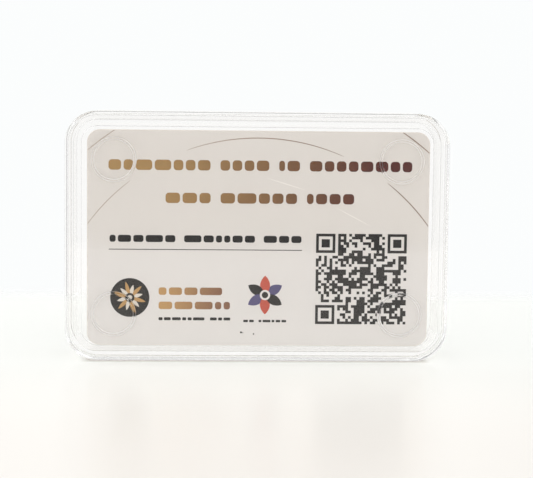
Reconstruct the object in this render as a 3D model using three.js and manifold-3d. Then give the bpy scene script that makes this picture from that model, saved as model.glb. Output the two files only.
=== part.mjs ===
// Clear two-part display box with a printed card behind its front panel.
//
// The frame is in millimetres with +Z up. The box stands on its long side on the plane Z = 0.
// +X runs along its width, its front panel faces -Y, and the origin is the centre of its footprint.

import * as THREE from "three";
import { mergeVertices } from "three/addons/utils/BufferGeometryUtils.js";
import Module from "manifold-3d";

// Overall size of the closed box
const BOX_WIDTH = 96.3;
const BOX_HEIGHT = 62.5;
const BOX_DEPTH = 18;
const BOX_CORNER_RADIUS = 8.1;

// Back cover, a shallow lid that slips over the tray
const SKIRT_WALL = 0.7;
const COVER_PANEL = 1.3;
const COVER_EDGE_RADIUS = 0.9;
const COVER_INNER_EDGE_RADIUS = 0.4;
const SLIP_GAP = 0.2;
const SKIRT_SETBACK = 1.5;
const RIM_GAP = 0.3;

// Front tray, with a panel, a wall and a ledge round the card
const TRAY_PANEL = 1.3;
const TRAY_WALL = 1.25;
const TRAY_EDGE_RADIUS = 0.35;
const POCKET_WIDTH = 87.9;
const POCKET_HEIGHT = 55;
const POCKET_CORNER_RADIUS = 4;
const POCKET_DEPTH = 1.6;

// Rings moulded on the front panel, one near each corner
const RING_HEIGHT = 0.2;
const RING_RADIUS = 5.25;
const RING_WIDTH = 0.8;
const RING_OFFSET_X = 35.9;
const RING_OFFSET_Z = 19.3;
const RING_SINK = 0.3;

// Card, a plastic one of the common bank card size
const CARD_WIDTH = 85.6;
const CARD_HEIGHT = 54;
const CARD_THICKNESS = 0.76;
const CARD_CORNER_RADIUS = 3.18;
const CARD_PANEL_GAP = 0.25;
const CARD_REST_GAP = 0.15;
const CARD_SHIFT_X = 0.25;

// Fineness of the facets
const CORNER_SEGMENTS = 10;
const EDGE_SEGMENTS = 4;
const RING_SEGMENTS = 40;
const RING_PROFILE_SEGMENTS = 4;

// Sizes that follow from those above
const MIDDLE_Z = BOX_HEIGHT / 2;
const RING_CREST_Y = -BOX_DEPTH / 2;
const TRAY_FACE_Y = RING_CREST_Y + RING_HEIGHT;
const POCKET_FLOOR_Y = TRAY_FACE_Y + TRAY_PANEL;
const LEDGE_BACK_Y = POCKET_FLOOR_Y + POCKET_DEPTH;
const COVER_BACK_Y = BOX_DEPTH / 2;
const COVER_INNER_Y = COVER_BACK_Y - COVER_PANEL;
const TRAY_RIM_Y = COVER_INNER_Y - RIM_GAP;
const SKIRT_EDGE_Y = TRAY_FACE_Y + SKIRT_SETBACK;
const TRAY_INSET = SKIRT_WALL + SLIP_GAP;
const CARD_FACE_Y = POCKET_FLOOR_Y + CARD_PANEL_GAP;
const CARD_BOTTOM_Z = MIDDLE_Z - POCKET_HEIGHT / 2 + CARD_REST_GAP;

// A cut runs past the face it opens by this much
const CUT_PAST = 1;

const wasm = await Module();
wasm.setup();

// Turns a closed three.js geometry into a solid that can be joined and cut.
function solidFrom(geometry) {
  const bare = geometry.clone();
  bare.deleteAttribute("normal");
  bare.deleteAttribute("uv");
  const merged = mergeVertices(bare, 1e-4);
  return new wasm.Manifold(
    new wasm.Mesh({
      numProp: 3,
      vertProperties: new Float32Array(merged.attributes.position.array),
      triVerts: new Uint32Array(merged.index.array),
    }),
  );
}

// Turns a finished solid back into a named mesh with its own material.
function meshFrom(name, solid, material) {
  const mesh = solid.getMesh();
  const geometry = new THREE.BufferGeometry();
  geometry.setAttribute("position", new THREE.BufferAttribute(new Float32Array(mesh.vertProperties), 3));
  geometry.setIndex(new THREE.BufferAttribute(new Uint32Array(mesh.triVerts), 1));
  geometry.computeVertexNormals();
  const named = new THREE.Mesh(geometry, material);
  named.name = name;
  return named;
}

// Outline of a rectangle with round corners, centred on the origin.
function roundedRectangle(width, height, radius) {
  const x = width / 2 - radius;
  const y = height / 2 - radius;
  const quarter = Math.PI / 2;
  const shape = new THREE.Shape();
  shape.absarc(x, -y, radius, -quarter, 0);
  shape.absarc(x, y, radius, 0, quarter);
  shape.absarc(-x, y, radius, quarter, 2 * quarter);
  shape.absarc(-x, -y, radius, 2 * quarter, 3 * quarter);
  shape.closePath();
  return shape;
}

// Upright slab from front to back along Y, with its outline in the XZ plane and centred at height z.
// Both of its ends have edges rounded by edgeRadius, or sharp edges where it is zero.
function slab({ width, height, corner, front, back, z = MIDDLE_Z, edgeRadius = 0 }) {
  const geometry = new THREE.ExtrudeGeometry(roundedRectangle(width, height, corner), {
    depth: back - front - 2 * edgeRadius,
    curveSegments: CORNER_SEGMENTS,
    bevelEnabled: edgeRadius > 0,
    bevelThickness: edgeRadius,
    bevelSize: edgeRadius,
    bevelOffset: -edgeRadius,
    bevelSegments: EDGE_SEGMENTS,
  });
  // The extrusion runs along +Z; this turns it to run along -Y, with the outline's top up.
  const upright = new THREE.Matrix4().set(1, 0, 0, 0, 0, 0, -1, back - edgeRadius, 0, 1, 0, z, 0, 0, 0, 1);
  geometry.applyMatrix4(upright);
  return solidFrom(geometry);
}

// The outline of the box, drawn in by inset all round.
function boxOutline(inset) {
  return {
    width: BOX_WIDTH - 2 * inset,
    height: BOX_HEIGHT - 2 * inset,
    corner: BOX_CORNER_RADIUS - inset,
  };
}

// Low round bead on the front panel, revolved about the Y axis and sunk into the panel.
function ring(x, z) {
  const profile = [new THREE.Vector2(RING_RADIUS + RING_WIDTH / 2, TRAY_FACE_Y + RING_SINK)];
  for (let step = 0; step <= RING_PROFILE_SEGMENTS; step += 1) {
    const angle = (Math.PI * step) / RING_PROFILE_SEGMENTS;
    const radius = RING_RADIUS + (RING_WIDTH / 2) * Math.cos(angle);
    profile.push(new THREE.Vector2(radius, TRAY_FACE_Y - RING_HEIGHT * Math.sin(angle)));
  }
  profile.push(new THREE.Vector2(RING_RADIUS - RING_WIDTH / 2, TRAY_FACE_Y + RING_SINK));
  profile.push(profile[0].clone());
  const geometry = new THREE.LatheGeometry(profile.reverse(), RING_SEGMENTS);
  geometry.translate(x, 0, z);
  return solidFrom(geometry);
}

// Front tray: the panel with its rings, the wall, and the ledge that frames the card.
function frontTray() {
  const blank = slab({
    ...boxOutline(TRAY_INSET),
    front: TRAY_FACE_Y,
    back: TRAY_RIM_Y + CUT_PAST,
    edgeRadius: TRAY_EDGE_RADIUS,
  });
  const trim = slab({ ...boxOutline(-CUT_PAST), front: TRAY_RIM_Y, back: TRAY_RIM_Y + 2 * CUT_PAST });
  const pocket = slab({
    width: POCKET_WIDTH,
    height: POCKET_HEIGHT,
    corner: POCKET_CORNER_RADIUS,
    front: POCKET_FLOOR_Y,
    back: TRAY_RIM_Y + CUT_PAST,
  });
  const hollow = slab({
    ...boxOutline(TRAY_INSET + TRAY_WALL),
    front: LEDGE_BACK_Y,
    back: TRAY_RIM_Y + CUT_PAST,
  });
  let tray = blank.subtract(trim).subtract(pocket).subtract(hollow);
  for (const x of [-RING_OFFSET_X, RING_OFFSET_X]) {
    for (const z of [-RING_OFFSET_Z, RING_OFFSET_Z]) {
      tray = tray.add(ring(x, MIDDLE_Z + z));
    }
  }
  return tray;
}

// Back cover: the rear panel and the skirt that slips over the tray, open towards the front.
function backCover() {
  const blank = slab({
    ...boxOutline(0),
    front: SKIRT_EDGE_Y - 2 * CUT_PAST,
    back: COVER_BACK_Y,
    edgeRadius: COVER_EDGE_RADIUS,
  });
  const trim = slab({ ...boxOutline(-CUT_PAST), front: SKIRT_EDGE_Y - 3 * CUT_PAST, back: SKIRT_EDGE_Y });
  const hollow = slab({
    ...boxOutline(SKIRT_WALL),
    front: SKIRT_EDGE_Y - 2 * CUT_PAST,
    back: COVER_INNER_Y,
    edgeRadius: COVER_INNER_EDGE_RADIUS,
  });
  return blank.subtract(trim).subtract(hollow);
}

// Printed card, standing in the tray's pocket just behind the panel.
function certificateCard() {
  return slab({
    width: CARD_WIDTH,
    height: CARD_HEIGHT,
    corner: CARD_CORNER_RADIUS,
    front: CARD_FACE_Y,
    back: CARD_FACE_Y + CARD_THICKNESS,
    z: CARD_BOTTOM_Z + CARD_HEIGHT / 2,
  });
}

// Clear styrene, the same for both shells of the box.
function clearPlastic() {
  return new THREE.MeshStandardMaterial({
    color: 0xf7f8f8,
    roughness: 0.05,
    metalness: 0,
    transparent: true,
    opacity: 0.3,
  });
}

const box = new THREE.Group();
box.add(meshFrom("front_tray", frontTray(), clearPlastic()));
box.add(meshFrom("back_cover", backCover(), clearPlastic()));

const card = meshFrom(
  "certificate_card",
  certificateCard(),
  new THREE.MeshStandardMaterial({ color: 0xdcd6d0, roughness: 0.35, metalness: 0 }),
);
card.position.x = CARD_SHIFT_X;
box.add(card);

export default box;
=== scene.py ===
"""Clear display box with a printed card behind its front panel, dressed for a studio render."""
import logging
import math
import random
from collections.abc import Callable
from dataclasses import dataclass, field
from enum import Enum

import bmesh
import bpy
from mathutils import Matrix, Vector
from mathutils.geometry import delaunay_2d_cdt


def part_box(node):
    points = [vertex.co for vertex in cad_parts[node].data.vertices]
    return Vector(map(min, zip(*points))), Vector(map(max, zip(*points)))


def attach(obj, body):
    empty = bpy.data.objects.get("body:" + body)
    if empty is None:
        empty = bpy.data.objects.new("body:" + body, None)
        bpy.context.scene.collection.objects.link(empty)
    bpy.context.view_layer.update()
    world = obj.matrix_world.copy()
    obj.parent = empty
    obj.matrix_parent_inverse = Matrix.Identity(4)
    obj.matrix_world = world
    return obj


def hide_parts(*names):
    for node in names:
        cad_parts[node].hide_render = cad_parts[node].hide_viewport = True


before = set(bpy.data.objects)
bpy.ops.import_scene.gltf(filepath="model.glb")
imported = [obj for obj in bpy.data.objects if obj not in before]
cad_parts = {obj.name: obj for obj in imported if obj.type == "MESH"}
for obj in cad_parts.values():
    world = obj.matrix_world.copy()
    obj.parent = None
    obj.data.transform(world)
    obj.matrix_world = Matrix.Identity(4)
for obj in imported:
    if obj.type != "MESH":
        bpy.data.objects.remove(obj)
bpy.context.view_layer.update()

LOG = logging.getLogger("display_box")

MM = 0.001
"""One millimetre in the scene's metres."""

FILL_INSIDE = 1
"""The way of delaunay_2d_cdt that fills only the inside of the given faces."""

Point2 = tuple[float, float]
Point3 = tuple[float, float, float]
Rgba = tuple[float, float, float, float]
Source = bpy.types.NodeSocket | float | Rgba


def srgb(red: int, green: int, blue: int) -> Rgba:
    """Turn a colour given as 0 to 255 sRGB values into the linear RGBA that the shaders use.

    Args:
        red: the red value.
        green: the green value.
        blue: the blue value.

    Returns:
        The linear colour with an alpha of one.
    """
    slope, knee, offset, power = 12.92, 0.04045, 0.055, 2.4
    linear = []
    for value in (red, green, blue):
        part = value / 255
        linear.append(part / slope if part <= knee else ((part + offset) / (1 + offset)) ** power)
    return (linear[0], linear[1], linear[2], 1.0)


def grey(value: float) -> Rgba:
    """Give the neutral linear colour of a brightness."""
    return (value, value, value, 1.0)


class Ink(Enum):
    """The inks and the bare stock that the card's face is made of, in material slot order."""

    STOCK = 0
    CHARCOAL = 1
    TITLE = 2
    GOLD = 3
    HAIRLINE = 4
    PALE = 5
    VIOLET = 6
    EMBER = 7
    SCUFF = 8


class NodeBench:
    """A small helper that adds nodes to one node tree and joins them."""

    def __init__(self, tree: bpy.types.NodeTree) -> None:
        """Keep the tree that the nodes go into."""
        self.tree = tree

    def add(self, kind: str, **settings: object) -> bpy.types.Node:
        """Add a node of a kind and set its plain properties.

        Args:
            kind: the node's type name, without the ShaderNode prefix.
            settings: properties of the node to set.

        Returns:
            The new node.
        """
        node = self.tree.nodes.new(f"ShaderNode{kind}")
        for name, value in settings.items():
            setattr(node, name, value)
        return node

    def feed(self, socket: bpy.types.NodeSocket, source: Source) -> None:
        """Join a socket to another one, or set its value where the source is a plain value."""
        if isinstance(source, bpy.types.NodeSocket):
            self.tree.links.new(source, socket)
        else:
            socket.default_value = source

    def math(self, operation: str, *sources: Source) -> bpy.types.NodeSocket:
        """Add a Math node.

        Args:
            operation: the node's operation.
            sources: the sockets or numbers that feed it, in order.

        Returns:
            The node's output.
        """
        node = self.add("Math", operation=operation)
        for socket, source in zip(node.inputs, sources):
            self.feed(socket, source)
        return node.outputs[0]

    def mix(self, factor: Source, low: Source, high: Source) -> bpy.types.NodeSocket:
        """Mix two colours.

        Args:
            factor: how much of the second colour shows.
            low: the first colour.
            high: the second colour.

        Returns:
            The mixed colour.
        """
        node = self.add("Mix", data_type="RGBA")
        first_colour, second_colour, mixed_colour = 6, 7, 2
        self.feed(node.inputs["Factor"], factor)
        self.feed(node.inputs[first_colour], low)
        self.feed(node.inputs[second_colour], high)
        return node.outputs[mixed_colour]

    def ramp(self, source: Source, low: float, high: float) -> bpy.types.NodeSocket:
        """Map a value smoothly from the range low to high onto 0 to 1.

        Args:
            source: the value.
            low: where the result is 0.
            high: where the result is 1.

        Returns:
            The mapped value.
        """
        node = self.add("MapRange", interpolation_type="SMOOTHSTEP")
        self.feed(node.inputs["Value"], source)
        node.inputs["From Min"].default_value = low
        node.inputs["From Max"].default_value = high
        return node.outputs["Result"]

    def noise(self, place: Source, scale: Source, detail: float = 2.0) -> bpy.types.NodeSocket:
        """Add a noise texture with its coordinates, scale and detail, and return its value."""
        node = self.add("TexNoise", noise_dimensions="3D")
        self.feed(node.inputs["Vector"], place)
        self.feed(node.inputs["Scale"], scale)
        node.inputs["Detail"].default_value = detail
        return node.outputs["Fac"]


def new_group(name: str, inputs: dict[str, tuple[str, object]], outputs: dict[str, str]) -> tuple:
    """Make an empty shader node group with named sockets.

    Args:
        name: the group's name.
        inputs: for each input, its socket type and default value.
        outputs: for each output, its socket type.

    Returns:
        The group, a bench for its nodes, its input node and its output node.
    """
    group = bpy.data.node_groups.new(name, "ShaderNodeTree")
    for title, (kind, value) in inputs.items():
        socket = group.interface.new_socket(title, in_out="INPUT", socket_type=kind)
        if value is not None:
            socket.default_value = value
    for title, kind in outputs.items():
        group.interface.new_socket(title, in_out="OUTPUT", socket_type=kind)
    bench = NodeBench(group)
    entry = group.nodes.new("NodeGroupInput")
    leave = group.nodes.new("NodeGroupOutput")
    return group, bench, entry, leave


@dataclass
class SharedEffects:
    """The node groups that more than one material uses, each built once."""

    groups: dict[str, bpy.types.NodeTree] = field(default_factory=dict)

    def build(self) -> None:
        """Build every shared group."""
        self.groups["fine_scratches"] = self._fine_scratches()
        self.groups["print_grain"] = self._print_grain()

    def place(self, bench: NodeBench, name: str, **values: object) -> bpy.types.Node:
        """Place a shared group in a material.

        Args:
            bench: the bench of the material's tree.
            name: the group's name.
            values: its inputs, with an underscore for each space in a name.

        Returns:
            The group's node.
        """
        node = bench.add("Group", node_tree=self.groups[name])
        for title, value in values.items():
            bench.feed(node.inputs[title.replace("_", " ")], value)
        return node

    def _fine_scratches(self) -> bpy.types.NodeTree:
        """Build the handling marks of polished plastic: long thin scratches and specks of dust.

        Returns:
            The group, which puts out a mask of marks and a height of the slow waviness.
        """
        stretch = (0.6, 1.0, 22.0)
        streak_detail, streak_range = 3.0, (0.66, 0.74)
        patch_scale, patch_range = 45.0, (0.5, 0.7)
        speck_scale, speck_range = 420.0, (0.085, 0.05)
        dusty_range = (0.56, 0.62)
        wave_detail, wave_scale = 1.0, 28.0
        group, bench, entry, leave = new_group(
            "fine_scratches",
            {
                "Scale": ("NodeSocketFloat", 60.0),
                "Amount": ("NodeSocketFloat", 0.5),
                "Turn": ("NodeSocketFloat", 0.6),
            },
            {"Marks": "NodeSocketFloat", "Waviness": "NodeSocketFloat"},
        )
        place = bench.add("TexCoord").outputs["Object"]
        turned = bench.add("VectorRotate", rotation_type="Y_AXIS")
        bench.feed(turned.inputs["Vector"], place)
        bench.feed(turned.inputs["Angle"], entry.outputs["Turn"])
        stretched = bench.add("VectorMath", operation="MULTIPLY")
        bench.feed(stretched.inputs[0], turned.outputs["Vector"])
        stretched.inputs[1].default_value = stretch
        streaks = bench.noise(stretched.outputs["Vector"], entry.outputs["Scale"], streak_detail)
        patches = bench.noise(place, patch_scale)
        specks = bench.add("TexVoronoi", feature="F1")
        bench.feed(specks.inputs["Vector"], place)
        specks.inputs["Scale"].default_value = speck_scale
        dots = bench.ramp(specks.outputs["Distance"], *speck_range)
        dust = bench.math("MULTIPLY", dots, bench.ramp(patches, *dusty_range))
        thin = bench.ramp(streaks, *streak_range)
        lines = bench.math("MULTIPLY", thin, bench.ramp(patches, *patch_range))
        both = bench.math("MAXIMUM", lines, dust)
        bench.feed(leave.inputs["Marks"], bench.math("MULTIPLY", both, entry.outputs["Amount"]))
        bench.feed(leave.inputs["Waviness"], bench.noise(place, wave_scale, wave_detail))
        return group

    def _print_grain(self) -> bpy.types.NodeTree:
        """Build the fine unevenness of ink on plastic card.

        Returns:
            The group, which puts out a tinted colour and the grain itself.
        """
        fine_scale, coarse_scale = 2600.0, 90.0
        group, bench, entry, leave = new_group(
            "print_grain",
            {
                "Colour": ("NodeSocketColor", (0.5, 0.5, 0.5, 1.0)),
                "Strength": ("NodeSocketFloat", 0.04),
            },
            {"Colour": "NodeSocketColor", "Grain": "NodeSocketFloat"},
        )
        place = bench.add("TexCoord").outputs["Object"]
        grain = bench.math("ADD", bench.noise(place, fine_scale), bench.noise(place, coarse_scale))
        swing = bench.math("MULTIPLY", bench.math("SUBTRACT", grain, 1.0), entry.outputs["Strength"])
        value = bench.math("ADD", 1.0, swing)
        tinted = bench.add("HueSaturation")
        bench.feed(tinted.inputs["Color"], entry.outputs["Colour"])
        bench.feed(tinted.inputs["Value"], value)
        bench.feed(leave.inputs["Colour"], tinted.outputs["Color"])
        bench.feed(leave.inputs["Grain"], grain)
        return group


def add_bump(bench: NodeBench, shader: bpy.types.Node, height: Source, strength: float) -> None:
    """Feed a height to a shader's normal through a Bump node of a hundredth of a millimetre."""
    bump = bench.add("Bump")
    bump.inputs["Strength"].default_value = strength
    bump.inputs["Distance"].default_value = MM / 100
    bench.feed(bump.inputs["Height"], height)
    bench.feed(shader.inputs["Normal"], bump.outputs["Normal"])


def blank_material(name: str) -> tuple[bpy.types.Material, NodeBench, bpy.types.Node]:
    """Make a material with nothing but a Principled BSDF on its output.

    Args:
        name: the material's name.

    Returns:
        The material, a bench for its nodes and its shader.
    """
    material = bpy.data.materials.new(name)
    material.use_nodes = True
    material.node_tree.nodes.clear()
    bench = NodeBench(material.node_tree)
    shader = bench.add("BsdfPrincipled")
    output = bench.add("OutputMaterial")
    bench.feed(output.inputs["Surface"], shader.outputs["BSDF"])
    return material, bench, shader


@dataclass(frozen=True)
class ClearStyrene:
    """Clear moulded polystyrene with faint handling marks."""

    name: str
    ior: float = 1.44
    roughness: float = 0.006
    marked_roughness: float = 0.22
    marks: float = 0.4
    turn: float = 0.6
    tint: Rgba = (0.998, 0.995, 0.99, 1.0)
    absorbed: Rgba = (0.62, 0.6, 0.56, 1.0)
    absorption: float = 5.0
    flat_cone: Point2 = (0.95, 0.99)
    wave_strength: float = 0.02

    def material(self, effects: SharedEffects) -> bpy.types.Material:
        """Build the material.

        Args:
            effects: the shared node groups.

        Returns:
            The finished material.
        """
        material, bench, shader = blank_material(self.name)
        shader.inputs["Transmission Weight"].default_value = 1.0
        shader.inputs["IOR"].default_value = self.ior
        shader.inputs["Base Color"].default_value = self.tint
        volume = bench.add("VolumeAbsorption")
        volume.inputs["Color"].default_value = self.absorbed
        volume.inputs["Density"].default_value = self.absorption
        output = next(node for node in bench.tree.nodes if node.type == "OUTPUT_MATERIAL")
        bench.feed(output.inputs["Volume"], volume.outputs["Volume"])
        scratches = effects.place(bench, "fine_scratches", Amount=self.marks, Turn=self.turn)
        facing = bench.add("SeparateXYZ")
        bench.feed(facing.inputs[0], bench.add("TexCoord").outputs["Normal"])
        flat = bench.ramp(bench.math("ABSOLUTE", facing.outputs["Y"]), *self.flat_cone)
        marked = bench.math("MULTIPLY", scratches.outputs["Marks"], flat)
        spread = self.marked_roughness - self.roughness
        rough = bench.math("MULTIPLY_ADD", marked, spread, self.roughness)
        bench.feed(shader.inputs["Roughness"], rough)
        waves = bench.math("MULTIPLY", scratches.outputs["Waviness"], flat)
        add_bump(bench, shader, waves, self.wave_strength)
        return material


@dataclass(frozen=True)
class SatinBead:
    """The finely textured flanks of the ring beads, which scatter a little light."""

    name: str = "styrene_satin_bead"
    ior: float = 1.5
    roughness: float = 0.38
    clear_share: float = 0.98
    tint: Rgba = grey(0.97)
    worn_gloss: float = 0.7
    gloss_index: float = 1.6
    texture_scale: float = 9000.0
    texture_strength: float = 0.2
    wear_scale: float = 95.0
    wear_range: Point2 = (0.34, 0.52)

    def material(self) -> bpy.types.Material:
        """Build the material.

        Returns:
            The finished material.
        """
        material, bench, shader = blank_material(self.name)
        place = bench.add("TexCoord").outputs["Object"]
        worn = bench.ramp(bench.noise(place, self.wear_scale), *self.wear_range)
        bench.feed(shader.inputs["Coat Weight"], bench.math("MULTIPLY", worn, self.worn_gloss))
        shader.inputs["Coat IOR"].default_value = self.gloss_index
        shader.inputs["Coat Roughness"].default_value = self.roughness
        shader.inputs["Transmission Weight"].default_value = self.clear_share
        shader.inputs["IOR"].default_value = self.ior
        shader.inputs["Base Color"].default_value = self.tint
        shader.inputs["Roughness"].default_value = self.roughness
        add_bump(bench, shader, bench.noise(place, self.texture_scale), self.texture_strength)
        return material


@dataclass(frozen=True)
class CardPrint:
    """Ink or bare stock on the plastic card, with a soft change of colour across it."""

    name: str
    start: Rgba
    end: Rgba
    axis: str = "X"
    low: float = -0.038
    high: float = 0.038
    roughness: float = 0.42
    sheen: float = 0.2
    grain: float = 0.03
    relief: float = 0.05

    def material(self, effects: SharedEffects) -> bpy.types.Material:
        """Build the material.

        Args:
            effects: the shared node groups.

        Returns:
            The finished material.
        """
        material, bench, shader = blank_material(self.name)
        place = bench.add("TexCoord").outputs["Object"]
        parts = bench.add("SeparateXYZ")
        bench.feed(parts.inputs[0], place)
        along = bench.ramp(parts.outputs[self.axis], self.low, self.high)
        colour = bench.mix(along, self.start, self.end)
        grain = effects.place(bench, "print_grain", Colour=colour, Strength=self.grain)
        bench.feed(shader.inputs["Base Color"], grain.outputs["Colour"])
        shader.inputs["Roughness"].default_value = self.roughness
        shader.inputs["Specular IOR Level"].default_value = self.sheen
        add_bump(bench, shader, grain.outputs["Grain"], self.relief)
        return material


@dataclass(frozen=True)
class StudioFloor:
    """Pale, slightly glossy table top with a painted contact shadow right under the box. Its far edge fades
    out.
    """

    name: str = "floor_white"
    near: Rgba = srgb(249, 245, 239)
    far: Rgba = srgb(249, 251, 247)
    # Colour, footprint half sizes and reach of the painted contact shadow under the box.
    shade: Rgba = srgb(216, 212, 205)
    shade_core: Point2 = (0.042, 0.0085)
    shade_reach: float = 0.0025
    fade: Point2 = (-0.11, 0.03)
    far_edge: Point2 = (0.14, 0.1)
    roughness: float = 0.26
    sheen: float = 0.6

    def material(self) -> bpy.types.Material:
        """Build the material.

        Returns:
            The finished material.
        """
        material, bench, shader = blank_material(self.name)
        place = bench.add("TexCoord").outputs["Object"]
        parts = bench.add("SeparateXYZ")
        bench.feed(parts.inputs[0], place)
        lit = bench.mix(bench.ramp(parts.outputs["Y"], *self.fade), self.near, self.far)
        # Painted contact shadow: the floor colour is darkened towards the shade colour close to the box's
        # footprint.
        squares = []
        for axis, half in zip("XY", self.shade_core):
            past = bench.math("SUBTRACT", bench.math("ABSOLUTE", parts.outputs[axis]), half)
            squares.append(bench.math("POWER", bench.math("MAXIMUM", past, 0.0), 2.0))
        reach = bench.math("POWER", bench.math("ADD", *squares), 0.5)
        shaded = bench.mix(bench.ramp(reach, self.shade_reach, 0.0), lit, self.shade)
        bench.feed(shader.inputs["Base Color"], shaded)
        bench.feed(shader.inputs["Alpha"], bench.ramp(parts.outputs["Y"], *self.far_edge))
        shader.inputs["Roughness"].default_value = self.roughness
        shader.inputs["Specular IOR Level"].default_value = self.sheen
        return material


@dataclass(frozen=True)
class Outline:
    """A rectangle with round corners in the XZ plane, in millimetres."""

    width: float
    height: float
    corner: float
    centre_x: float = 0.0
    centre_z: float = 0.0

    def inset(self, amount: float) -> "Outline":
        """Return the same outline drawn in by an amount all round."""
        least_corner = 0.05
        return Outline(
            self.width - 2 * amount,
            self.height - 2 * amount,
            max(self.corner - amount, least_corner),
            self.centre_x,
            self.centre_z,
        )

    def points(self, segments: int) -> list[Point2]:
        """Work out the points round the outline, counter-clockwise seen from the front.

        Args:
            segments: how many steps each corner's arc has.

        Returns:
            The points as x and z.
        """
        along = self.width / 2 - self.corner
        up = self.height / 2 - self.corner
        corners = ((along, -up, -90.0), (along, up, 0.0), (-along, up, 90.0), (-along, -up, 180.0))
        result = []
        for x, z, start in corners:
            for step in range(segments + 1):
                angle = math.radians(start + 90.0 * step / segments)
                across = self.centre_x + x + self.corner * math.cos(angle)
                upward = self.centre_z + z + self.corner * math.sin(angle)
                result.append((across, upward))
        return result


@dataclass(frozen=True)
class ProfileCorner:
    """One corner of a shell's profile: how far in it is from the outline, its depth and its rounding."""

    inset: float
    depth: float
    radius: float = 0.0


class ShellSkin:
    """A closed smooth skin, swept round an outline that changes with the inset of its profile."""

    SUPPORT = 0.03
    """Distance in millimetres from a rounding to the loop that keeps the flat beside it flat."""

    MARGIN = 4 * SUPPORT
    """Distance in millimetres past a rounding at which a flat face takes over."""

    SAME = 0.0005
    """Distance in millimetres below which two vertices are one."""

    def __init__(self, name: str, corner_segments: int, edge_segments: int) -> None:
        """Start an empty skin.

        Args:
            name: the name of the finished object.
            corner_segments: steps in each corner of the outline.
            edge_segments: steps in each rounding of the profile.
        """
        self.name = name
        self.corner_segments = corner_segments
        self.edge_segments = edge_segments
        self.mesh = bmesh.new()

    def profile_points(self, corners: list[ProfileCorner]) -> list[Point2]:
        """Round the corners of a profile and add the support points beside each rounding.

        Args:
            corners: the profile from its first end to its last.

        Returns:
            The points as inset and depth.
        """
        points: list[Point2] = [(corners[0].inset, corners[0].depth)]
        for before, here, after in zip(corners, corners[1:], corners[2:]):
            place = Vector((here.inset, here.depth))
            back = (Vector((before.inset, before.depth)) - place).normalized()
            ahead = (Vector((after.inset, after.depth)) - place).normalized()
            centre = place + here.radius * (back + ahead)
            points.append(tuple(place + (here.radius + self.SUPPORT) * back))
            for step in range(self.edge_segments + 1):
                angle = math.pi / 2 * step / self.edge_segments
                away = ahead * math.cos(angle) + back * math.sin(angle)
                points.append(tuple(centre - here.radius * away))
            points.append(tuple(place + (here.radius + self.SUPPORT) * ahead))
        points.append((corners[-1].inset, corners[-1].depth))
        return points

    def loop(self, outline: Outline, depth: float) -> list[bmesh.types.BMVert]:
        """Add one loop of vertices round an outline at a depth."""
        points = outline.points(self.corner_segments)
        return [self.mesh.verts.new((x * MM, depth * MM, z * MM)) for x, z in points]

    def bridge(self, first: list[bmesh.types.BMVert], second: list[bmesh.types.BMVert]) -> None:
        """Join two loops of the same length with a band of quads."""
        count = len(first)
        for index in range(count):
            after = (index + 1) % count
            self.mesh.faces.new((first[index], first[after], second[after], second[index]))

    def sweep(self, corners: list[ProfileCorner], outline_at: Callable[[float], Outline]) -> tuple:
        """Sweep a profile round the outline.

        Args:
            corners: the profile.
            outline_at: a function that gives the outline for an inset.

        Returns:
            The first and the last loop, which are still open.
        """
        loops = [self.loop(outline_at(inset), depth) for inset, depth in self.profile_points(corners)]
        for first, second in zip(loops, loops[1:]):
            self.bridge(first, second)
        return loops[0], loops[-1]

    def finish(self, material: bpy.types.Material) -> bpy.types.Object:
        """Close the seams, turn the faces out and make the object.

        Args:
            material: the skin's material.

        Returns:
            The finished object.
        """
        bmesh.ops.remove_doubles(self.mesh, verts=self.mesh.verts, dist=self.SAME * MM)
        bmesh.ops.recalc_face_normals(self.mesh, faces=self.mesh.faces)
        for face in self.mesh.faces:
            face.smooth = True
        return object_from(self.name, self.mesh, [material])


def object_from(
    name: str, mesh: bmesh.types.BMesh, materials: list[bpy.types.Material]
) -> bpy.types.Object:
    """Turn a bmesh into an object in the scene.

    Args:
        name: the object's name.
        mesh: its mesh, which is freed.
        materials: its material slots, in order.

    Returns:
        The new object.
    """
    data = bpy.data.meshes.new(name)
    mesh.to_mesh(data)
    mesh.free()
    for material in materials:
        data.materials.append(material)
    piece = bpy.data.objects.new(name, data)
    bpy.context.scene.collection.objects.link(piece)
    return piece


def node_outline(node: str, corner: float) -> Outline:
    """Read a CAD node's outline in the XZ plane.

    Args:
        node: the node's name.
        corner: its corner radius in millimetres.

    Returns:
        The outline in millimetres.
    """
    low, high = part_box(node)
    return Outline(
        (high[0] - low[0]) / MM,
        (high[2] - low[2]) / MM,
        corner,
        (high[0] + low[0]) / 2 / MM,
        (high[2] + low[2]) / 2 / MM,
    )


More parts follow.
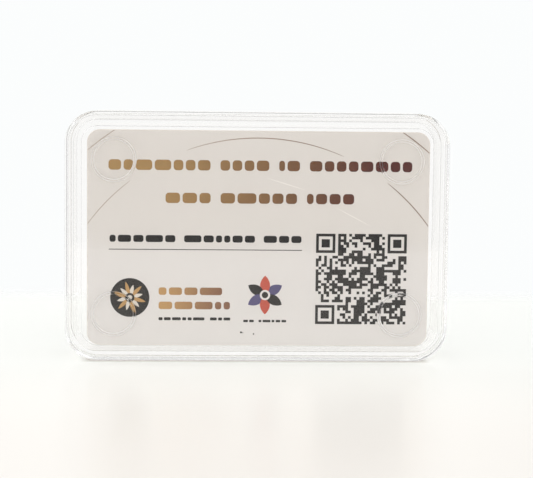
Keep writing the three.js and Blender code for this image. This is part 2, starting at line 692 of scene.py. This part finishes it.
@dataclass
class FrontTray:
    """The clear tray: front panel with four ring beads, wall, and the ledge round the card."""

    corner: float = 7.2
    panel: float = 1.3
    wall: float = 1.25
    face_edge: float = 0.35
    rim_edge: float = 0.15
    inner_edge: float = 0.2
    pocket_edge: float = 0.06
    pocket: Outline = Outline(87.9, 55.0, 4.0, 0.0, 31.25)
    pocket_depth: float = 1.6
    ring_height: float = 0.2
    ring_radius: float = 5.25
    ring_width: float = 0.8
    ring_offset: Point2 = (35.9, 19.3)
    ring_segments: int = 72
    ring_steps: int = 8
    ring_swell: float = 1.5
    satin_rise: float = 0.15
    corner_segments: int = 24
    edge_segments: int = 6
    finish: ClearStyrene = ClearStyrene("clear_styrene_tray")
    bead_finish: SatinBead = SatinBead()

    def outline_at(self, inset: float) -> Outline:
        """Give the outline for an inset: the wall's, then one that turns into the pocket's.

        Args:
            inset: distance in from the outside, in millimetres.

        Returns:
            The outline there.
        """
        outer = node_outline("front_tray", self.corner)
        pocket_inset = (outer.width - self.pocket.width) / 2
        if inset <= self.wall:
            return outer.inset(inset)
        if inset >= pocket_inset:
            return self.pocket.inset(inset - pocket_inset)
        share = (inset - self.wall) / (pocket_inset - self.wall)
        wall = outer.inset(self.wall)
        return Outline(
            wall.width + share * (self.pocket.width - wall.width),
            wall.height + share * (self.pocket.height - wall.height),
            wall.corner + share * (self.pocket.corner - wall.corner),
            wall.centre_x,
            wall.centre_z,
        )

    def bead_profile(self) -> list[Point2]:
        """Work out the radii of a ring bead's circles and how far each stands proud of the panel."""
        half = self.ring_width / 2
        profile = [(self.ring_radius - half - ShellSkin.SUPPORT, 0.0)]
        for step in range(self.ring_steps + 1):
            angle = math.pi * step / self.ring_steps
            height = self.ring_height * math.sin(angle) ** self.ring_swell
            profile.append((self.ring_radius - half * math.cos(angle), height))
        profile.append((self.ring_radius + half + ShellSkin.SUPPORT, 0.0))
        return profile

    def add_panel_face(self, skin: ShellSkin, edge: Outline, face_y: float) -> None:
        """Close the front of the tray with the panel's face and its four ring beads.

        Args:
            skin: the skin that the face belongs to.
            edge: the outline of the open loop that the face fills.
            face_y: the depth of the panel's face.
        """
        points = [Vector(point) for point in edge.points(skin.corner_segments)]
        depths = [face_y] * len(points)
        border = list(range(len(points)))
        edges = []
        profile = self.bead_profile()
        for side in (-1, 1):
            for level in (-1, 1):
                across, up = self.ring_offset
                centre = Vector((edge.centre_x + side * across, edge.centre_z + level * up))
                for radius, height in profile:
                    first = len(points)
                    for step in range(self.ring_segments):
                        angle = math.tau * step / self.ring_segments
                        points.append(centre + radius * Vector((math.cos(angle), math.sin(angle))))
                        depths.append(face_y - height)
                        edges.append((first + step, first + (step + 1) % self.ring_segments))
        flat = delaunay_2d_cdt(points, edges, [border], FILL_INSIDE, 1e-5)
        vertices = []
        for place, sources in zip(flat[0], flat[3]):
            depth = depths[sources[0]] if sources else face_y
            vertices.append(skin.mesh.verts.new((place.x * MM, depth * MM, place.y * MM)))
        for corners in flat[2]:
            face = skin.mesh.faces.new([vertices[index] for index in corners])
            heights = [face_y - vertices[index].co.y / MM for index in corners]
            steep = max(heights) - min(heights) > self.satin_rise * self.ring_height
            face.material_index = 1 if steep else 0

    def build(self, effects: SharedEffects) -> bpy.types.Object:
        """Build and dress the tray.

        Args:
            effects: the shared node groups.

        Returns:
            The tray's piece.
        """
        low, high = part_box("front_tray")
        face_y = low[1] / MM + self.ring_height
        rim_y = high[1] / MM
        floor_y = face_y + self.panel
        ledge_y = floor_y + self.pocket_depth
        pocket_inset = (node_outline("front_tray", self.corner).width - self.pocket.width) / 2
        start = self.face_edge + ShellSkin.MARGIN
        stop = pocket_inset + self.pocket_edge + ShellSkin.MARGIN
        skin = ShellSkin("front_tray_clear", self.corner_segments, self.edge_segments)
        _, last = skin.sweep(
            [
                ProfileCorner(start, face_y),
                ProfileCorner(0.0, face_y, self.face_edge),
                ProfileCorner(0.0, rim_y, self.rim_edge),
                ProfileCorner(self.wall, rim_y, self.rim_edge),
                ProfileCorner(self.wall, ledge_y, self.inner_edge),
                ProfileCorner(pocket_inset, ledge_y, self.inner_edge),
                ProfileCorner(pocket_inset, floor_y, self.pocket_edge),
                ProfileCorner(stop, floor_y),
            ],
            self.outline_at,
        )
        skin.mesh.faces.new(last)
        self.add_panel_face(skin, self.outline_at(start), face_y)
        piece = skin.finish(self.finish.material(effects))
        piece.data.materials.append(self.bead_finish.material())
        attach(piece, "root")
        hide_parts("front_tray")
        return piece


@dataclass
class BackCover:
    """The clear lid: rear panel and the thin skirt that slips over the tray."""

    corner: float = 8.1
    skirt: float = 0.7
    panel: float = 1.3
    back_edge: float = 0.9
    inner_edge: float = 0.4
    rim_edge: float = 0.12
    corner_segments: int = 24
    edge_segments: int = 8
    finish: ClearStyrene = ClearStyrene("clear_styrene_cover", tint=grey(1.0), absorption=0.6, turn=2.2)

    def build(self, effects: SharedEffects) -> bpy.types.Object:
        """Build and dress the cover.

        Args:
            effects: the shared node groups.

        Returns:
            The cover's piece.
        """
        outer = node_outline("back_cover", self.corner)
        low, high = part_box("back_cover")
        rim_y = low[1] / MM
        back_y = high[1] / MM
        inner_y = back_y - self.panel
        skin = ShellSkin("back_cover_clear", self.corner_segments, self.edge_segments)
        first, last = skin.sweep(
            [
                ProfileCorner(self.back_edge + ShellSkin.MARGIN, back_y),
                ProfileCorner(0.0, back_y, self.back_edge),
                ProfileCorner(0.0, rim_y, self.rim_edge),
                ProfileCorner(self.skirt, rim_y, self.rim_edge),
                ProfileCorner(self.skirt, inner_y, self.inner_edge),
                ProfileCorner(self.skirt + self.inner_edge + ShellSkin.MARGIN, inner_y),
            ],
            outer.inset,
        )
        skin.mesh.faces.new(first)
        skin.mesh.faces.new(last)
        piece = skin.finish(self.finish.material(effects))
        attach(piece, "root")
        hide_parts("back_cover")
        return piece


@dataclass
class FlatShape:
    """One closed shape of an ink on the card's face, in millimetres from the card's centre."""

    ink: Ink
    points: list[Point2]


@dataclass
class CardDesign:
    """The generic design printed on the card: bars, rosettes, thin arcs, random squares and worn marks."""

    seed: int = 4172
    fill: float = 0.57
    shapes: list[FlatShape] = field(default_factory=list)

    def bar(self, ink: Ink, low: Point2, high: Point2, radius: float, steps: int = 5) -> None:
        """Add a bar with round corners.

        Args:
            ink: its ink.
            low: its lower left corner.
            high: its upper right corner.
            radius: its corner radius, cut to half of its shorter side.
            steps: steps in each corner.
        """
        width = high[0] - low[0]
        height = high[1] - low[1]
        almost_half = 0.499
        corner = min(radius, almost_half * width, almost_half * height)
        centre = ((low[0] + high[0]) / 2, (low[1] + high[1]) / 2)
        outline = Outline(width, height, corner, *centre)
        self.shapes.append(FlatShape(ink, outline.points(steps)))

    def disc(self, ink: Ink, centre: Point2, radius: float, steps: int = 72) -> None:
        """Add a filled disc."""
        turns = [math.tau * step / steps for step in range(steps)]
        points = [(centre[0] + radius * math.cos(a), centre[1] + radius * math.sin(a)) for a in turns]
        self.shapes.append(FlatShape(ink, points))

    def arc(self, ink: Ink, centre: Point2, radius: float, turn: Point2, weight: float) -> None:
        """Add a thin arc that tapers to nothing at both ends.

        Args:
            ink: its ink.
            centre: the centre of its circle.
            radius: the radius of its circle.
            turn: its first and last angle in degrees.
            weight: its line's width at the middle.
        """
        steps, tip, fullness = 40, 0.12, 0.4
        outer = []
        inner = []
        for step in range(steps + 1):
            share = step / steps
            angle = math.radians(turn[0] + share * (turn[1] - turn[0]))
            half = weight / 2 * (tip + (1 - tip) * math.sin(math.pi * share) ** fullness)
            for side, reach in ((outer, radius + half), (inner, radius - half)):
                side.append((centre[0] + reach * math.cos(angle), centre[1] + reach * math.sin(angle)))
        self.shapes.append(FlatShape(ink, outer + inner[::-1]))

    def petal(self, ink: Ink, centre: Point2, length: float, width: float, turn: float) -> None:
        """Add a pointed petal that starts at a centre.

        Args:
            ink: its ink.
            centre: where it starts.
            length: its length.
            width: its greatest width.
            turn: its direction in degrees.
        """
        steps, fullness = 14, 0.8
        side = []
        for step in range(steps + 1):
            share = step / steps
            side.append((length * share, width / 2 * math.sin(math.pi * share) ** fullness))
        closed = [(x, -y) for x, y in side] + side[-2:0:-1]
        cosine = math.cos(math.radians(turn))
        sine = math.sin(math.radians(turn))
        points = [(centre[0] + x * cosine - y * sine, centre[1] + x * sine + y * cosine) for x, y in closed]
        self.shapes.append(FlatShape(ink, points))

    def word_row(self, ink: Ink, low: Point2, high: Point2, words: list[int], gap: float) -> None:
        """Add a row of short bars in groups.

        Args:
            ink: its ink.
            low: the row's lower left corner.
            high: its upper right corner.
            words: how many bars each group has.
            gap: the space between bars; groups stand four such spaces apart.
        """
        choices, roundness, seed_scale = (0.6, 1.0, 1.0, 1.3, 1.7), 0.32, 100
        corner = roundness * (high[1] - low[1])
        rng = random.Random(self.seed + int(seed_scale * abs(low[1])))
        widths = [[rng.choice(choices) for _ in range(count)] for count in words]
        total = sum(sum(group) for group in widths)
        gaps = gap * (sum(words) - len(words)) + 4 * gap * (len(words) - 1)
        unit = (high[0] - low[0] - gaps) / total
        x = low[0]
        for group in widths:
            for width in group:
                self.bar(ink, (x, low[1]), (x + width * unit, high[1]), corner)
                x += width * unit + gap
            x += 3 * gap

    def square_block(self, low: Point2, size: float, cells: int) -> None:
        """Add a block of random small squares with a frame in three of its corners.

        Args:
            low: the block's lower left corner.
            size: the length of its sides.
            cells: how many cells it has each way.
        """
        rng = random.Random(self.seed)
        cell = size / cells
        frame_cells = 7
        last = cells - frame_cells

        def framed(column: int, row: int) -> bool:
            at_left = column <= frame_cells
            at_right = column >= last - 1
            at_bottom = row <= frame_cells
            at_top = row >= last - 1
            return (at_left and at_top) or (at_right and at_top) or (at_left and at_bottom)

        for row in range(cells):
            column = 0
            while column < cells:
                run = 0
                while column + run < cells and not framed(column + run, row) and rng.random() < self.fill:
                    run += 1
                if run:
                    x = low[0] + column * cell
                    z = low[1] + row * cell
                    self.bar(Ink.CHARCOAL, (x, z), (x + run * cell, z + cell), 0.0, 1)
                column += run + 1
        for column, row in ((0, 0), (0, last), (last, last)):
            x = low[0] + column * cell
            z = low[1] + row * cell
            for ink, step in ((Ink.CHARCOAL, 0), (Ink.STOCK, 1), (Ink.CHARCOAL, 2)):
                inner = step * cell
                outer = (frame_cells - step) * cell
                self.bar(ink, (x + inner, z + inner), (x + outer, z + outer), 0.0, 1)

    def dark_rosette(self, centre: Point2) -> None:
        """Add a dark disc with twelve thin petals, pale and gold by turns, round a pale dot."""
        width, turn, petals = 0.95, 30.0, ((Ink.PALE, 3.3), (Ink.GOLD, 4.1))
        self.disc(Ink.CHARCOAL, centre, 4.9)
        for step in range(12):
            ink, length = petals[step % len(petals)]
            self.petal(ink, centre, length, width, turn / 2 + turn * step)
        self.disc(Ink.CHARCOAL, centre, 1.15, 40)
        self.disc(Ink.PALE, centre, 0.6, 32)

    def open_rosette(self, centre: Point2) -> None:
        """Add six broad petals in three colours round a dark dot."""
        length, width, turn, inks = 4.9, 2.5, 60.0, (Ink.VIOLET, Ink.EMBER, Ink.CHARCOAL)
        for step in range(6):
            self.petal(inks[step % len(inks)], centre, length, width, turn / 2 + turn * step)
        self.disc(Ink.STOCK, centre, 1.3, 40)
        self.disc(Ink.CHARCOAL, centre, 0.8, 32)

    def draw(self) -> list[FlatShape]:
        """Draw the whole design, in millimetres from the card's centre.

        Returns:
            Its shapes, the later ones on top.
        """
        low_middle = (0.0, -27.6)
        small_arc, large_arc = 52.8, 65.3
        strong, faint = 0.26, 0.2
        self.arc(Ink.HAIRLINE, low_middle, small_arc, (66.3, 110.1), strong)
        self.arc(Ink.HAIRLINE, low_middle, small_arc, (34.0, 52.4), strong)
        self.arc(Ink.HAIRLINE, low_middle, small_arc, (127.4, 146.0), faint)
        self.arc(Ink.HAIRLINE, low_middle, large_arc, (46.0, 60.0), strong)
        self.arc(Ink.HAIRLINE, low_middle, large_arc, (120.0, 134.0), faint)
        self.word_row(Ink.TITLE, (-37.5, 17.0), (38.4, 19.6), [7, 4, 2, 8], 0.62)
        self.word_row(Ink.TITLE, (-23.3, 8.8), (23.9, 11.4), [3, 5, 4], 0.62)
        self.word_row(Ink.CHARCOAL, (-37.2, -1.0), (10.8, 0.75), [5, 6, 3], 0.55)
        self.bar(Ink.CHARCOAL, (-37.4, -2.95), (11.0, -2.75), 0.1)
        self.word_row(Ink.GOLD, (-24.9, -14.3), (-9.0, -12.4), [4], 0.6)
        self.word_row(Ink.GOLD, (-24.9, -17.9), (-7.0, -16.0), [5], 0.6)
        self.word_row(Ink.CHARCOAL, (-24.9, -20.7), (-6.9, -19.95), [6, 3], 0.35)
        self.word_row(Ink.CHARCOAL, (-3.6, -21.1), (7.2, -20.5), [2, 5], 0.3)
        self.dark_rosette((-32.1, -15.0))
        self.open_rosette((1.8, -14.2))
        self.square_block((14.5, -21.5), 22.9, 33)
        self.petal(Ink.SCUFF, (1.7, 15.35), 10.7, faint, -17.0)
        self.petal(Ink.SCUFF, (19.2, 8.05), 10.3, faint, -27.6)
        speck_steps = 9
        for x, z, radius in ((-4.15, -23.7, 0.26), (-3.7, -23.8, 0.12), (-1.0, -24.1, 0.2)):
            self.disc(Ink.CHARCOAL, (x, z), radius, speck_steps)
        return self.shapes


@dataclass
class PrintedCard:
    """The plastic card, one solid whose front face is cut along the edges of its printed design."""

    corner: float = 3.18
    edge: float = 0.08
    corner_segments: int = 20
    edge_segments: int = 3
    core: CardPrint = CardPrint("card_core", srgb(222, 214, 205), srgb(219, 211, 202))
    inks: dict[Ink, CardPrint] = field(
        default_factory=lambda: {
            Ink.STOCK: CardPrint("card_stock", srgb(218, 214, 211), srgb(216, 211, 206), "Z", 0.024, 0.034),
            Ink.CHARCOAL: CardPrint("ink_charcoal", srgb(18, 12, 8), srgb(16, 10, 6)),
            Ink.TITLE: CardPrint("ink_title", srgb(162, 129, 80), srgb(76, 20, 10), "X", -0.036, 0.036),
            Ink.GOLD: CardPrint("ink_gold", srgb(182, 142, 88), srgb(124, 84, 60), "X", -0.026, -0.006),
            Ink.HAIRLINE: CardPrint("ink_hairline", srgb(172, 156, 143), srgb(132, 110, 96)),
            Ink.PALE: CardPrint("ink_pale", srgb(214, 206, 196), srgb(226, 220, 210)),
            Ink.VIOLET: CardPrint("ink_violet", srgb(92, 84, 128), srgb(70, 66, 104)),
            Ink.SCUFF: CardPrint("scuffed_stock", srgb(236, 232, 228), srgb(234, 229, 224)),
            Ink.EMBER: CardPrint("ink_ember", srgb(200, 92, 66), srgb(170, 60, 48)),
        }
    )
    design: CardDesign = field(default_factory=CardDesign)

    def add_face(self, skin: ShellSkin, border: Outline, face_y: float) -> None:
        """Fill the card's front with faces cut along the design, each in its ink.

        Args:
            skin: the skin that the faces belong to.
            border: the outline of the open loop that they fill.
            face_y: the depth of the card's face.
        """
        core_slots = 1
        centre = Vector((border.centre_x, border.centre_z))
        shapes = [FlatShape(Ink.STOCK, border.points(skin.corner_segments))]
        for shape in self.design.draw():
            shapes.append(FlatShape(shape.ink, [(centre.x + x, centre.y + z) for x, z in shape.points]))
        points = []
        faces = []
        for shape in shapes:
            first = len(points)
            points.extend(Vector(point) for point in shape.points)
            faces.append(list(range(first, len(points))))
        flat = delaunay_2d_cdt(points, [], faces, FILL_INSIDE, 1e-4)
        vertices = [skin.mesh.verts.new((place.x * MM, face_y * MM, place.y * MM)) for place in flat[0]]
        for corners, sources in zip(flat[2], flat[5]):
            on_card = 0 in sources
            if on_card:
                face = skin.mesh.faces.new([vertices[index] for index in corners])
                face.material_index = core_slots + shapes[max(sources)].ink.value

    def build(self, effects: SharedEffects) -> bpy.types.Object:
        """Build and dress the card.

        Args:
            effects: the shared node groups.

        Returns:
            The card's piece.
        """
        outer = node_outline("certificate_card", self.corner)
        low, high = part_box("certificate_card")
        face_y = low[1] / MM
        back_y = high[1] / MM
        start = self.edge + 2 * ShellSkin.SUPPORT
        skin = ShellSkin("printed_card", self.corner_segments, self.edge_segments)
        _, last = skin.sweep(
            [
                ProfileCorner(start, face_y),
                ProfileCorner(0.0, face_y, self.edge),
                ProfileCorner(0.0, back_y, self.edge),
                ProfileCorner(start, back_y),
            ],
            outer.inset,
        )
        skin.mesh.faces.new(last)
        self.add_face(skin, outer.inset(start), face_y)
        piece = skin.finish(self.core.material(effects))
        for ink in Ink:
            piece.data.materials.append(self.inks[ink].material(effects))
        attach(piece, "root")
        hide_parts("certificate_card")
        return piece


@dataclass
class Studio:
    """The floor, the light and the photograph's camera."""

    distance: float = 0.4
    azimuth: float = -2.6
    elevation: float = 5.3
    roll: float = 0.65
    focal_pixels: float = 1593.0
    frame_width: int = 533
    sensor_width: float = 36.0
    aim: Point3 = (0.0023, -0.007, 0.0308)
    floor_half_width: float = 0.6
    floor_front: float = -0.29
    floor_back: float = 0.15
    floor_drop: float = -0.00004
    floor_finish: StudioFloor = StudioFloor()
    side_light: float = 1.42
    dim_light: float = 0.5
    ceiling_light: float = 0.6
    wing_light: float = 0.86
    flag_light: float = 0.4
    side_flag_light: float = 0.6
    backdrop_light: Rgba = (0.969, 0.984, 0.984, 1.0)
    backdrop_through: Rgba = (1.02, 1.02, 1.01, 1.0)
    dim_cone: Point2 = (-0.98, -0.88)
    ceiling_cone: Point2 = (0.88, 0.97)
    wing_cone: Point2 = (0.8, 0.94)
    flag_cone: Point2 = (0.45, 0.6)
    side_flag_cone: Point2 = (0.25, 0.45)
    backdrop_cone: Point2 = (0.92, 0.965)
    bounces: int = 320

    def add_camera(self) -> None:
        """Add the camera at the photograph's viewing angle."""
        lens = bpy.data.cameras.new("photo_camera")
        lens.sensor_width = self.sensor_width
        lens.lens = self.focal_pixels / self.frame_width * self.sensor_width
        lens.clip_start = 10 * MM
        camera = bpy.data.objects.new("photo_camera", lens)
        bpy.context.scene.collection.objects.link(camera)
        across = math.radians(self.azimuth)
        up = math.radians(self.elevation)
        aim = Vector(self.aim)
        away = Vector((math.sin(across) * math.cos(up), -math.cos(across) * math.cos(up), math.sin(up)))
        camera.location = aim + self.distance * away
        turn = (-away).to_track_quat("-Z", "Y").to_euler()
        camera.rotation_euler = turn
        camera.rotation_euler.rotate_axis("Z", math.radians(self.roll))
        bpy.context.scene.camera = camera

    def add_floor(self) -> None:
        """Add the table top that the box stands on."""
        mesh = bmesh.new()
        half, front, back = self.floor_half_width, self.floor_front, self.floor_back
        corners = ((-half, front), (half, front), (half, back), (-half, back))
        mesh.faces.new([mesh.verts.new((x, y, self.floor_drop)) for x, y in corners])
        object_from("studio_floor", mesh, [self.floor_finish.material()])

    def add_light(self) -> None:
        """Add the white surroundings: dimmer behind the camera, overhead, far out to the sides and in a
        ring round the backdrop, which draws the edges of the clear shells. The backdrop lights a little
        more than it shows, to make up for what the shells' faces reflect away."""
        world = bpy.data.worlds.new("studio_white")
        bpy.context.scene.world = world
        world.use_nodes = True
        world.node_tree.nodes.clear()
        bench = NodeBench(world.node_tree)
        place = bench.add("TexCoord").outputs["Generated"]
        parts = bench.add("SeparateXYZ")
        bench.feed(parts.inputs[0], place)
        forward = bench.ramp(parts.outputs["Y"], *self.dim_cone)
        backward = bench.ramp(parts.outputs["Y"], *self.backdrop_cone)
        sides = bench.mix(forward, grey(self.dim_light), grey(self.side_light))
        upward = bench.ramp(parts.outputs["Z"], *self.ceiling_cone)
        outward = bench.math("ABSOLUTE", parts.outputs["X"])
        sideways = bench.ramp(outward, *self.wing_cone)
        winged = bench.mix(sideways, sides, grey(self.wing_light))
        behind = bench.ramp(parts.outputs["Y"], *self.flag_cone)
        beside = bench.ramp(outward, *self.side_flag_cone)
        flag = bench.mix(beside, grey(self.flag_light), grey(self.side_flag_light))
        flagged = bench.mix(behind, winged, flag)
        around = bench.mix(upward, flagged, grey(self.ceiling_light))
        direct = bench.add("LightPath").outputs["Is Camera Ray"]
        backdrop = bench.mix(direct, self.backdrop_through, self.backdrop_light)
        light = bench.mix(backward, around, backdrop)
        background = bench.add("Background")
        bench.feed(background.inputs["Color"], light)
        output = bench.add("OutputWorld")
        bench.feed(output.inputs["Surface"], background.outputs[0])

    def set_up_view(self) -> None:
        """Set the plain view transform and enough bounces for clear shells in each other."""
        scene = bpy.context.scene
        scene.view_settings.view_transform = "Standard"
        scene.view_settings.look = "None"
        scene.cycles.max_bounces = self.bounces
        scene.cycles.transmission_bounces = self.bounces
        scene.cycles.glossy_bounces = self.bounces
        scene.cycles.blur_glossy = 0.0


def main() -> None:
    """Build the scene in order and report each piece."""
    logging.basicConfig(level=logging.INFO, format="%(name)s: %(message)s")
    studio = Studio()
    studio.add_camera()
    studio.set_up_view()
    studio.add_floor()
    studio.add_light()
    effects = SharedEffects()
    effects.build()
    for maker in (FrontTray(), BackCover(), PrintedCard()):
        piece = maker.build(effects)
        LOG.info("%s has %d faces", piece.name, len(piece.data.polygons))


if __name__ == "__main__":
    main()
